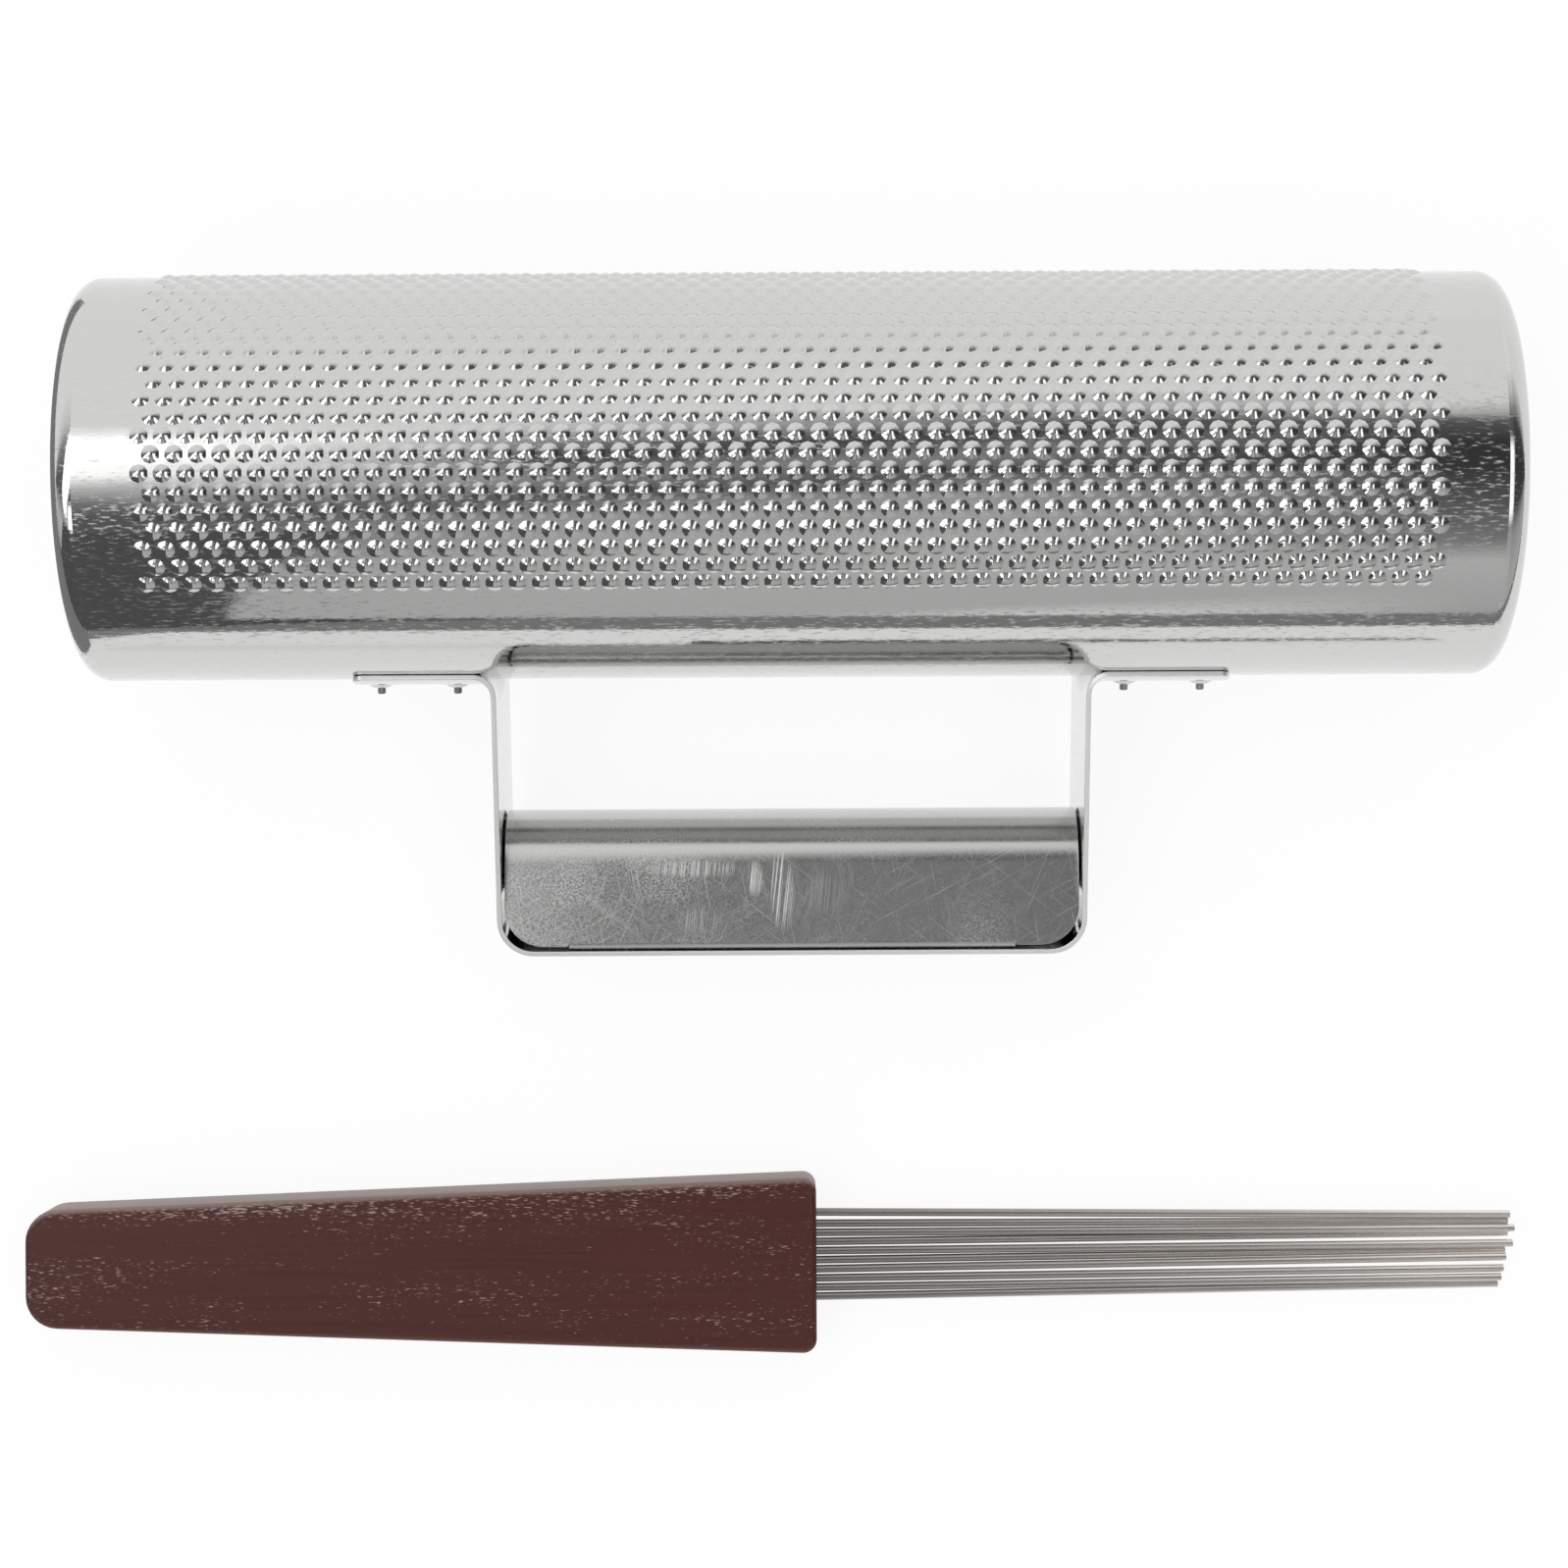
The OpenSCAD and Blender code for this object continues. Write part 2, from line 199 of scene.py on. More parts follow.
# Two half cells make the cell of a dot, and the rows start half a cell apart. A cell has six corners, and
# the cuts in its two sides give it as many as a dot has sides.
middles, sides = [], []
for edge in bm.edges:
    (column, row), (other_column, _) = sorted(grid_place[v] for v in edge.verts)
    if column == other_column and row < ROW_COUNT:
        half = column - MARGIN_STEPS - row % 2
        if 0 <= half <= 2 * DOT_COUNT:
            (sides if half % 2 == 0 else middles).append(edge)
bmesh.ops.dissolve_edges(bm, edges=middles, use_verts=False)
bmesh.ops.bisect_edges(bm, edges=sides, cuts=SIDE_CUTS)
cells = [face for face in bm.faces if len(face.verts) == DOT_SIDES]
turn = 2 * pi / DOT_SIDES
for r, height in DOT_RINGS:
    bmesh.ops.inset_individual(bm, faces=cells, thickness=RING_INSET)
    for cell in cells:
        middle = cell.calc_center_median()
        for v in cell.verts:
            angle = (round(atan2(v.co.y - middle.y, v.co.x - middle.x) / turn - 0.5) + 0.5) * turn
            v.co = (middle.x + r * cos(angle), middle.y + r * sin(angle), height)
bmesh.ops.poke(bm, faces=cells, offset=DOT_H - DOT_RINGS[-1][1], center_mode="MEAN")

# The flat sheet is rolled up and its seam closed. Its inner wall is left smooth.
for v in bm.verts:
    x, run, height = v.co
    angle = run / TUBE_R
    v.co = (x, -(TUBE_R + height) * cos(angle), (TUBE_R + height) * sin(angle))
bmesh.ops.remove_doubles(bm, verts=bm.verts, dist=MERGE_GAP)
rims = [edge for edge in bm.edges if edge.is_boundary]
inner = bmesh.ops.extrude_edge_only(bm, edges=rims)["geom"]
inner_verts = [v for v in inner if isinstance(v, bmesh.types.BMVert)]
shrink = (TUBE_R - SHEET_T) / TUBE_R
bmesh.ops.scale(bm, vec=(1, shrink, shrink), verts=inner_verts)
bmesh.ops.bridge_loops(bm, edges=[edge for edge in inner if isinstance(edge, bmesh.types.BMEdge)])
bmesh.ops.recalc_face_normals(bm, faces=bm.faces)
tube = finish_piece(bm, "embossed_tube", bright_steel, guiro_place, sharp_angle=20)
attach(tube, "guiro")
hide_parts("embossed_shell")

# End caps. Two discs pressed from the same steel, with a rounded edge that meets the tube in a fine seam.
# A skirt behind the edge fits inside the tube, where it is soldered.
CAP_T = 0.6
CAP_EDGE_R = 5
CAP_SKIRT = 8
CAP_FIT = 0.05
CAP_STEPS = 128
EDGE_STEPS = 10
# Inside, the round starts about where the skirt's inner face meets it
INNER_ROUND_START = 60


def draw_path(bm, points):
    """Draws an open path and returns its vertices and its edges."""
    verts = [bm.verts.new(point) for point in points]
    return verts, [bm.edges.new(pair) for pair in zip(verts, verts[1:])]


def spin_profile(bm, points, axis, steps, middle=(0, 0, 0)):
    """Turns an outline of points about an axis through a middle and closes the mesh."""
    verts, edges = draw_path(bm, points)
    bmesh.ops.spin(
        bm, geom=verts + edges, cent=middle, axis=axis, angle=2 * pi, steps=steps, use_merge=True)
    bmesh.ops.remove_doubles(bm, verts=bm.verts, dist=MERGE_GAP)
    bmesh.ops.recalc_face_normals(bm, faces=bm.faces)


def arc(middle, r, start, end, steps):
    """Points of an arc about a middle, in degrees."""
    angles = [radians(start + (end - start) * i / steps) for i in range(steps + 1)]
    return [(middle[0] + r * cos(a), middle[1] + r * sin(a)) for a in angles]


seam_x = shell_l / 2
face_x = seam_x + CAP_EDGE_R
edge_middle = (seam_x, TUBE_R - CAP_EDGE_R)
skirt_r = TUBE_R - SHEET_T - CAP_FIT
cap_outline = (
    [(face_x, 0)]
    + arc(edge_middle, CAP_EDGE_R, 0, 90, EDGE_STEPS)
    + [(seam_x, skirt_r), (seam_x - CAP_SKIRT, skirt_r), (seam_x - CAP_SKIRT, skirt_r - CAP_T)]
    + [(seam_x, skirt_r - CAP_T)]
    + arc(edge_middle, CAP_EDGE_R - CAP_T, INNER_ROUND_START, 0, EDGE_STEPS)
    + [(face_x - CAP_T, 0)]
)
for name, side in (("left_end_cap", -1), ("right_end_cap", 1)):
    bm = bmesh.new()
    spin_profile(bm, [(side * x, r, 0) for x, r in cap_outline], (1, 0, 0), CAP_STEPS)
    cap = finish_piece(bm, "steel_" + name, bright_steel, guiro_place, sharp_angle=50)
    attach(cap, "guiro")
    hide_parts(name)

# Handle strap. One flat steel strip, bent cold to two feet, two arms and the base, with its edges broken.
# The feet are curved across the strip to lie on the round tube.
STRAP_T = 1.1
HANDLE_SPAN = 127.8
FOOT_L = 29.4
FOOT_FIT = 0.05
FOOT_BEND_R = 3.6
BASE_BEND_R = 6.8
FOOT_CORNER_R = 2
EDGE_BREAK = 0.15
BREAK_STEPS = 2
BREAK_ANGLE = 50
BEND_STEPS = 10
WIDTH_STEPS = 12
CORNER_STEPS = 6
# Slack for finding vertices by their place
NEAR = 0.01

arm_out = HANDLE_SPAN / 2
foot_end = arm_out + FOOT_L
foot_r = FOOT_BEND_R + STRAP_T
foot_start = arm_out - STRAP_T + foot_r
base_r = BASE_BEND_R + STRAP_T
arm_start = TUBE_R + FOOT_FIT + foot_r
half_path = (
    [(foot_end, -TUBE_R - FOOT_FIT)]
    + arc((foot_start, -arm_start), foot_r, 90, 180, BEND_STEPS)
    + arc((arm_out - base_r, -BASE_OUT + base_r), base_r - STRAP_T, 0, -90, BEND_STEPS)
)
strap_path = half_path + [(-x, y) for x, y in reversed(half_path)]


def sweep(bm, edges, travel):
    """Sweeps edges along a vector to a strip of faces and returns its far edges."""
    swept = bmesh.ops.extrude_edge_only(bm, edges=edges)["geom"]
    verts = [v for v in swept if isinstance(v, bmesh.types.BMVert)]
    bmesh.ops.translate(bm, vec=travel, verts=verts)
    return [edge for edge in swept if isinstance(edge, bmesh.types.BMEdge) and set(edge.verts) <= set(verts)]


def round_corners(bm, corners, r, segments):
    """Rounds the given free corners of a sheet."""
    bmesh.ops.bevel(bm, geom=corners, affect="VERTICES", offset=r, offset_type="OFFSET",
                    segments=segments, profile=0.5, material=-1)


def turn_to_tube(bm, marker):
    """Turns all the faces of a sheet to one side, so that the marker face looks towards the tube."""
    bmesh.ops.recalc_face_normals(bm, faces=bm.faces)
    if marker.normal.y < 0:
        bmesh.ops.reverse_faces(bm, faces=bm.faces)


def thicken(piece, thickness, edge_break, edge_material):
    """Gives a sheet its thickness behind its face, with cut edges of their own material, slightly broken."""
    piece.data.materials.append(edge_material)
    wall = piece.modifiers.new("thickness", "SOLIDIFY")
    wall.thickness = thickness * MM
    wall.offset = -1
    wall.use_even_offset = True
    wall.material_offset_rim = 1
    broken = piece.modifiers.new("broken edges", "BEVEL")
    broken.width = edge_break * MM
    broken.segments = BREAK_STEPS
    broken.limit_method = "ANGLE"
    broken.angle_limit = radians(BREAK_ANGLE)
    flats = piece.modifiers.new("even flats", "WEIGHTED_NORMAL")
    flats.keep_sharp = True


bm = bmesh.new()
_, edges = draw_path(bm, [(x, y, -STRAP_W / 2) for x, y in strap_path])
for _ in range(WIDTH_STEPS):
    edges = sweep(bm, edges, (0, 0, STRAP_W / WIDTH_STEPS))
corners = [v for v in bm.verts if abs(v.co.x) > foot_end - NEAR and abs(v.co.z) > STRAP_W / 2 - NEAR]
round_corners(bm, corners, FOOT_CORNER_R, CORNER_STEPS)
for v in bm.verts:
    if v.co.y > -arm_start - NEAR:
        v.co.y = -sqrt(v.co.y ** 2 - v.co.z ** 2)
turn_to_tube(bm, min(bm.faces, key=lambda face: face.calc_center_median().y))

# The strip is the same bright steel as the tube. Its sheared edges are satin, and so lighter than the faces,
# with marks of the shears along them, drawn coarser than they are so that they show.
SHEAR_LENGTH = 6
SHEAR_WIDTH = 0.2
sheared_steel, tree = new_material("sheared stainless steel edge")
coords = add(tree, "ShaderNodeTexCoord").outputs["Object"]
shear = streaks(tree, coords, SHEAR_LENGTH, SHEAR_WIDTH, SHEAR_WIDTH, detail=1)
gloss = add(tree, "ShaderNodeMapRange", {"Value": shear, "To Min": 0.42, "To Max": 0.58})
steel = add(tree, "ShaderNodeBsdfPrincipled", {
    "Base Color": linear("#f6f6f5"), "Metallic": 1, "Roughness": gloss.outputs[0]})
add(tree, "ShaderNodeOutputMaterial", {"Surface": steel.outputs[0]})

strap = finish_piece(bm, "bent_strap", bright_steel, guiro_place)
thicken(strap, STRAP_T, EDGE_BREAK, sheared_steel)
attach(strap, "guiro")
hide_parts("handle_strap")

# Grip cover. Thin sheet bent round to a hood over the base of the strap, so that the hand holds a full grip.
# Its sides spread to the strap, where their edges are folded in and spot welded; holding has scuffed them.
GRIP_W = 36
GRIP_H = 26.5
GRIP_T = 0.5
GRIP_CREST_R = 13
GRIP_END_GAP = 0.4
GRIP_CORNER_R = 8.4
GRIP_FOLD = 6
GRIP_FOLD_L = 97
GRIP_FOLD_R = 1.3
# Beside a fold the sheet is notched, and its bare edge runs straight on past where the fold starts to bend
GRIP_NOTCH = 0.3
GRIP_EDGE_RUN = 0.75
GRIP_EDGE_BREAK = 0.1
GRIP_BEND_STEPS = 32
GRIP_CORNER_STEPS = 8
FOLD_STEPS = 5

grip_foot = -BASE_OUT + STRAP_T
grip_half_l = arm_out - STRAP_T - GRIP_END_GAP
crest_middle = (grip_foot + GRIP_H - GRIP_CREST_R, 0)
fold_middle = (grip_foot + GRIP_FOLD_R, GRIP_W / 2 - GRIP_FOLD_R)
side_run = (fold_middle[0] - crest_middle[0], fold_middle[1])
side_lean = degrees(atan2(side_run[1], side_run[0]) - acos((GRIP_CREST_R - GRIP_FOLD_R) / hypot(*side_run)))
fold_path = arc(fold_middle, GRIP_FOLD_R, side_lean, 180, FOLD_STEPS) + [(grip_foot, GRIP_W / 2 - GRIP_FOLD)]
side_foot = fold_path[0]
hood_path = (
    [(side_foot[0], -side_foot[1])]
    + arc(crest_middle, GRIP_CREST_R, -side_lean, side_lean, GRIP_BEND_STEPS)
    + [side_foot]
)

# Scuffed stainless steel: a dull mirror with mottled patches, straight hair scratches in several directions,
# and bundles of rubs across it where it was handled most. The scratches are drawn wide enough to show.
SCRATCH_LENGTH = 14
SCRATCH_WIDTH = 0.16
SCRATCH_TURNS = (28, 66, 101, 142)
RUB_LENGTH = 30
RUB_WIDTH = 0.24
RUB_TURN = 84
# Middle of each bundle of rubs in X and Y, half its width and length, and how deep it goes
RUBS = (
    (-3.4, -11.8, 1.7, 4, 0.8),
    (2.4, -14.2, 2.6, 9, 0.85),
    (-17, -9.6, 11, 2.2, 0.5),
    (-15, -21, 6, 4, 0.25),
    (12, -15, 6, 6, 0.2),
)
GRAIN_SIZE = 0.4
PATCH_SIZE = 26
scuffed_steel, tree = new_material("scuffed stainless steel")
coords = add(tree, "ShaderNodeTexCoord").outputs["Object"]
scratches = 0
for turn in SCRATCH_TURNS:
    scratch = streaks(tree, coords, SCRATCH_LENGTH, SCRATCH_WIDTH, SCRATCH_LENGTH, detail=0, turn=turn)
    hair = add(tree, "ShaderNodeMapRange", {
        "Value": scratch, "From Min": 0.7, "From Max": 0.82, "To Max": 0.27})
    deepest = add(tree, "ShaderNodeMath", {0: hair.outputs[0], 1: scratches}, operation="MAXIMUM")
    scratches = deepest.outputs[0]
rub = streaks(tree, coords, RUB_LENGTH, RUB_WIDTH, RUB_LENGTH, detail=0, turn=RUB_TURN)
rub_line = add(tree, "ShaderNodeMapRange", {"Value": rub, "From Min": 0.42, "From Max": 0.62})
bundles = 0
for x, y, half_w, half_l, depth in RUBS:
    rub_place = add(tree, "ShaderNodeMapping", {
        "Vector": coords, "Location": (x * MM, y * MM, 0), "Scale": (half_w * MM, half_l * MM, 1)},
        vector_type="TEXTURE")
    from_middle = add(tree, "ShaderNodeVectorMath", {0: rub_place.outputs[0]}, operation="LENGTH")
    bundle = add(tree, "ShaderNodeMapRange", {
        "Value": from_middle.outputs["Value"], "From Min": 1.2, "From Max": 0.5, "To Max": depth})
    deepest = add(tree, "ShaderNodeMath", {0: bundle.outputs[0], 1: bundles}, operation="MAXIMUM")
    bundles = deepest.outputs[0]
rubs = add(tree, "ShaderNodeMath", {0: rub_line.outputs[0], 1: bundles}, operation="MULTIPLY")
strokes = add(tree, "ShaderNodeMath", {0: rubs.outputs[0], 1: scratches}, operation="MAXIMUM")
rub_patches_and_tip_tone = add(tree, "ShaderNodeTexNoise", {"Vector": coords, "Scale": 1 / (PATCH_SIZE * MM), "Detail": 2})
patch = add(tree, "ShaderNodeMapRange", {
    "Value": rub_patches_and_tip_tone.outputs["Fac"], "From Min": 0.45, "From Max": 0.68, "To Min": 0.15, "To Max": 0.38})
grain = add(tree, "ShaderNodeTexNoise", {"Vector": coords, "Scale": 1 / (GRAIN_SIZE * MM), "Detail": 2})
speckle = add(tree, "ShaderNodeMapRange", {
    "Value": grain.outputs["Fac"], "From Min": 0.35, "From Max": 0.65})
mottle = add(tree, "ShaderNodeMath", {0: speckle.outputs[0], 1: patch.outputs[0]}, operation="MULTIPLY")
marks = add(tree, "ShaderNodeMath", {0: mottle.outputs[0], 1: strokes.outputs[0]}, operation="MAXIMUM")
gloss = add(tree, "ShaderNodeMapRange", {"Value": marks.outputs[0], "To Min": 0.14, "To Max": 0.62})
tone = add(tree, "ShaderNodeMix", {
    "Factor": marks.outputs[0], "A": linear("#c6c6c5"), "B": linear("#f2f2f0")}, data_type="RGBA")
bump = add(tree, "ShaderNodeBump", {"Height": marks.outputs[0], "Strength": 0.05, "Distance": 0.05 * MM})
steel = add(tree, "ShaderNodeBsdfPrincipled", {
    "Base Color": tone.outputs[2], "Metallic": 1, "Roughness": gloss.outputs[0], "Normal": bump.outputs[0]})
add(tree, "ShaderNodeOutputMaterial", {"Surface": steel.outputs[0]})

# The hood is its outline swept from end to end, in lengths with and without a fold.
bm = bmesh.new()
_, edges = draw_path(bm, [(-grip_half_l, y, z) for y, z in hood_path])
bare_l = grip_half_l - GRIP_FOLD_L / 2 - GRIP_NOTCH
for travel in (bare_l, GRIP_NOTCH, GRIP_FOLD_L, GRIP_NOTCH, bare_l):
    edges = sweep(bm, edges, (travel, 0, 0))

# Beyond the folds the sides run on to bare edges with rounded corners.
lean = radians(side_lean)
bare = [v for v in bm.verts if v.co.y < side_foot[0] + NEAR and abs(v.co.x) > GRIP_FOLD_L / 2 + NEAR]
for v in bare:
    v.co.y -= GRIP_EDGE_RUN * sin(lean)
    v.co.z += GRIP_EDGE_RUN * cos(lean) * (1 if v.co.z > 0 else -1)
ends = [v for v in bare if abs(v.co.x) > grip_half_l - NEAR]
round_corners(bm, ends, GRIP_CORNER_R, GRIP_CORNER_STEPS)
for up in (-1, 1):
    foot = [v for v in bm.verts if abs(v.co.y - side_foot[0]) < NEAR and v.co.z * up > 0]
    folded = {v for v in foot if abs(v.co.x) < GRIP_FOLD_L / 2 + NEAR}
    edges = [edge for edge in bm.edges if folded.issuperset(edge.verts)]
    for (y, z), (next_y, next_z) in zip(fold_path, fold_path[1:]):
        edges = sweep(bm, edges, (0, next_y - y, up * (next_z - z)))
turn_to_tube(bm, max(bm.faces, key=lambda face: face.calc_center_median().y))
grip = finish_piece(bm, "grip_hood", scuffed_steel, guiro_place)
thicken(grip, GRIP_T, GRIP_EDGE_BREAK, sheared_steel)
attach(grip, "guiro")
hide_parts("grip_cover")

# Rivets. Four blind rivets of soft aluminium hold the feet to the tube, two in each.
# A domed head bears on the strap; the tail is drawn up inside the tube.
RIVET_D = 3.2
RIVET_HEAD_D = 6.5
RIVET_HEAD_H = 1.9
RIVET_RIM = 0.5
RIVET_TAIL_D = 5
RIVET_TAIL_L = 4
# From one rivet to the next, and from the end of the foot to the first
RIVET_STEP = 16.6
RIVET_EDGE = 4.1
RIVET_FIT = 0.05
MANDREL_D = 1.8
RIVET_STEPS = 32
DOME_STEPS = 8

foot_out = TUBE_R + FOOT_FIT + STRAP_T
bore_r = MANDREL_D / 2 + RIVET_FIT
tail_top = sqrt((TUBE_R - SHEET_T) ** 2 - (RIVET_TAIL_D / 2) ** 2)
tail_end = tail_top - RIVET_TAIL_L
rivet_places = [side * (foot_end - RIVET_EDGE - step) for side in (-1, 1) for step in (0, RIVET_STEP)]
dome_h = RIVET_HEAD_H - RIVET_RIM
dome_r = ((RIVET_HEAD_D / 2) ** 2 + dome_h ** 2) / (2 * dome_h)
dome_middle = (0, foot_out + RIVET_HEAD_H - dome_r)
dome_foot = degrees(asin((dome_r - dome_h) / dome_r))
dome_top = degrees(atan2(sqrt(dome_r ** 2 - bore_r ** 2), bore_r))
rivet_outline = (
    [(bore_r, tail_end), (RIVET_TAIL_D / 2, tail_end), (RIVET_TAIL_D / 2, tail_top), (RIVET_D / 2, tail_top)]
    + [(RIVET_D / 2, foot_out), (RIVET_HEAD_D / 2, foot_out)]
    + arc(dome_middle, dome_r, dome_foot, dome_top, DOME_STEPS)
    + [(bore_r, tail_end)]
)

# Tumbled aluminium: pale, soft reflections with a fine grain, drawn coarse enough to show.
TUMBLE_GRAIN = 0.3
aluminium, tree = new_material("tumbled aluminium")
coords = add(tree, "ShaderNodeTexCoord").outputs["Object"]
grain = add(tree, "ShaderNodeTexNoise", {"Vector": coords, "Scale": 1 / (TUMBLE_GRAIN * MM), "Detail": 2})
gloss = add(tree, "ShaderNodeMapRange", {"Value": grain.outputs["Fac"], "To Min": 0.2, "To Max": 0.4})
bump = add(tree, "ShaderNodeBump", {"Height": grain.outputs["Fac"], "Strength": 0.1, "Distance": 0.05 * MM})
metal = add(tree, "ShaderNodeBsdfPrincipled", {
    "Base Color": linear("#d6d6d5"), "Metallic": 1, "Roughness": gloss.outputs[0],
    "Normal": bump.outputs[0]})
add(tree, "ShaderNodeOutputMaterial", {"Surface": metal.outputs[0]})

bm = bmesh.new()
for x in rivet_places:
    outline = [(x + r, -out, 0) for r, out in rivet_outline]
    spin_profile(bm, outline, (0, 1, 0), RIVET_STEPS, (x, 0, 0))
rivets = finish_piece(bm, "blind_rivets", aluminium, guiro_place)
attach(rivets, "guiro")
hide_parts("rivet_bodies")

# Mandrels. The steel pins that set the rivets, snapped off a little above the heads.
# Each one's own head stays behind the tail of its rivet, which it has drawn up.
MANDREL_HEAD_D = 3
MANDREL_HEAD_H = 1.5
MANDREL_STUB = 1.2
MANDREL_ROUND = 0.25
ROUND_STEPS = 4

stub_top = foot_out + RIVET_HEAD_H + MANDREL_STUB
mandrel_outline = (
    [(0, tail_end - MANDREL_HEAD_H), (MANDREL_HEAD_D / 2, tail_end - MANDREL_HEAD_H)]
    + [(MANDREL_HEAD_D / 2, tail_end), (MANDREL_D / 2, tail_end)]
    + arc((MANDREL_D / 2 - MANDREL_ROUND, stub_top - MANDREL_ROUND), MANDREL_ROUND, 0, 90, ROUND_STEPS)
    + [(0, stub_top)]
)

# Snapped carbon steel: darker and rougher than the rivets, its grain drawn coarse enough to show.
BREAK_GRAIN = 0.25
pin_steel, tree = new_material("snapped carbon steel")
coords = add(tree, "ShaderNodeTexCoord").outputs["Object"]
grain = add(tree, "ShaderNodeTexNoise", {"Vector": coords, "Scale": 1 / (BREAK_GRAIN * MM), "Detail": 3})
gloss = add(tree, "ShaderNodeMapRange", {"Value": grain.outputs["Fac"], "To Min": 0.3, "To Max": 0.55})
metal = add(tree, "ShaderNodeBsdfPrincipled", {
    "Base Color": linear("#a8a7a4"), "Metallic": 1, "Roughness": gloss.outputs[0]})
add(tree, "ShaderNodeOutputMaterial", {"Surface": metal.outputs[0]})

bm = bmesh.new()
for x in rivet_places:
    outline = [(x + r, -out, 0) for r, out in mandrel_outline]
    spin_profile(bm, outline, (0, 1, 0), RIVET_STEPS, (x, 0, 0))
mandrels = finish_piece(bm, "rivet_pins", pin_steel, guiro_place)
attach(mandrels, "guiro")
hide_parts("rivet_mandrels")

# Scraper block. A tapered hardwood block with rounded edges, brushed with dark brown paint.
# Ten holes drilled in its wide end hold the wires.
BUTT_W = 26.6
WIRE_END_W = 39.1
BLOCK_T = 16
BUTT_CORNER_R = 6.9
WIRE_CORNER_R = 3.2
BLOCK_EDGE_R = 1.3
BLOCK_CORNER_STEPS = 8
BLOCK_EDGE_STEPS = 6
# How fast the painted sheen grows as the surface turns to the back and to the front, and where it starts at
# the back
BACK_SHEEN = 2
BACK_SHEEN_START = 0.15
FRONT_SHEEN = 0.4

block_low, block_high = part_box("scraper_handle")
block_middle = (block_low + block_high) / 2
scraper_place = Matrix.Translation((0, block_middle.y, 0)) @ Matrix.Scale(MM, 4)
butt_x, wire_x = block_low.x / MM, block_high.x / MM
flare = (WIRE_END_W - BUTT_W) / 2 / (wire_x - WIRE_CORNER_R - butt_x - BUTT_CORNER_R)
butt_y = BUTT_W / 2 - flare * BUTT_CORNER_R
wire_y = WIRE_END_W / 2 + flare * WIRE_CORNER_R

# Painted hardwood: a thin, chalky brown coat that has sunk into the pores, which show as pale flecks along
# the grain.
# Beside the back edge the flecks are thickened as painted sheen, and faces turned to the back and front get
# a painted sheen.
PORE_LENGTH = 1.5
PORE_WIDTH = 0.3
FIGURE_LENGTH = 45
FIGURE_WIDTH = 6
FIGURE_SHARE = 0.45
SHEEN_STRIP = 5
CHALK_GLOSS = 0.25
BRUSH_LENGTH = 40
BRUSH_WIDTH = 0.8
painted_wood, tree = new_material("brushed paint on hardwood")
coords = add(tree, "ShaderNodeTexCoord").outputs["Object"]
pore = streaks(tree, coords, PORE_LENGTH, PORE_WIDTH, PORE_WIDTH, detail=1)
figure = streaks(tree, coords, FIGURE_LENGTH, FIGURE_WIDTH, FIGURE_WIDTH, detail=2)
open_pore = add(tree, "ShaderNodeMath", {0: figure, 1: FIGURE_SHARE, 2: pore}, operation="MULTIPLY_ADD")
# Painted sheen: a strip beside the back edge gets more pale flecks, on top of the real open pores.
back_y = block_middle.y + MM * (butt_y + (wire_y - butt_y) * butt_x / (butt_x - wire_x))
back_at = add(tree, "ShaderNodeMapping", {
    "Vector": coords, "Location": (0, back_y, 0), "Rotation": (0, 0, atan(flare))}, vector_type="TEXTURE")
from_back = add(tree, "ShaderNodeSeparateXYZ", {0: back_at.outputs[0]})
strip = add(tree, "ShaderNodeMapRange", {
    "Value": from_back.outputs["Y"], "From Min": -SHEEN_STRIP * MM, "From Max": 0, "To Max": 0.13})
pore_and_sheen = add(tree, "ShaderNodeMath", {0: open_pore.outputs[0], 1: strip.outputs[0]}, operation="ADD")
fleck = add(tree, "ShaderNodeMapRange", {"Value": pore_and_sheen.outputs[0], "From Min": 0.91, "From Max": 1.08})
brush = streaks(tree, coords, BRUSH_LENGTH, BRUSH_WIDTH, BRUSH_WIDTH, detail=2)
coat = add(tree, "ShaderNodeMix", {
    "Factor": brush, "A": linear("#3a1b18"), "B": linear("#4e2620")}, data_type="RGBA")
with_flecks = add(tree, "ShaderNodeMix", {
    "Factor": fleck.outputs[0], "A": coat.outputs[2], "B": linear("#a08d86")}, data_type="RGBA")
# Painted sheen: the faces turned to the back and to the front are lightened towards a pale brown.
painted_sheen = add(tree, "ShaderNodeAttribute", attribute_name="painted_sheen")
colour = add(tree, "ShaderNodeMix", {
    "Factor": painted_sheen.outputs["Fac"], "A": with_flecks.outputs[2], "B": linear("#85706a")}, data_type="RGBA")
gloss = add(tree, "ShaderNodeMapRange", {"Value": brush, "To Min": 0.32, "To Max": 0.5})
bump = add(tree, "ShaderNodeBump", {"Height": open_pore.outputs[0], "Strength": 0.25, "Distance": 0.1 * MM})
paint = add(tree, "ShaderNodeBsdfPrincipled", {
    "Base Color": colour.outputs[2], "Roughness": gloss.outputs[0], "Specular IOR Level": CHALK_GLOSS,
    "Normal": bump.outputs[0]})
add(tree, "ShaderNodeOutputMaterial", {"Surface": paint.outputs[0]})

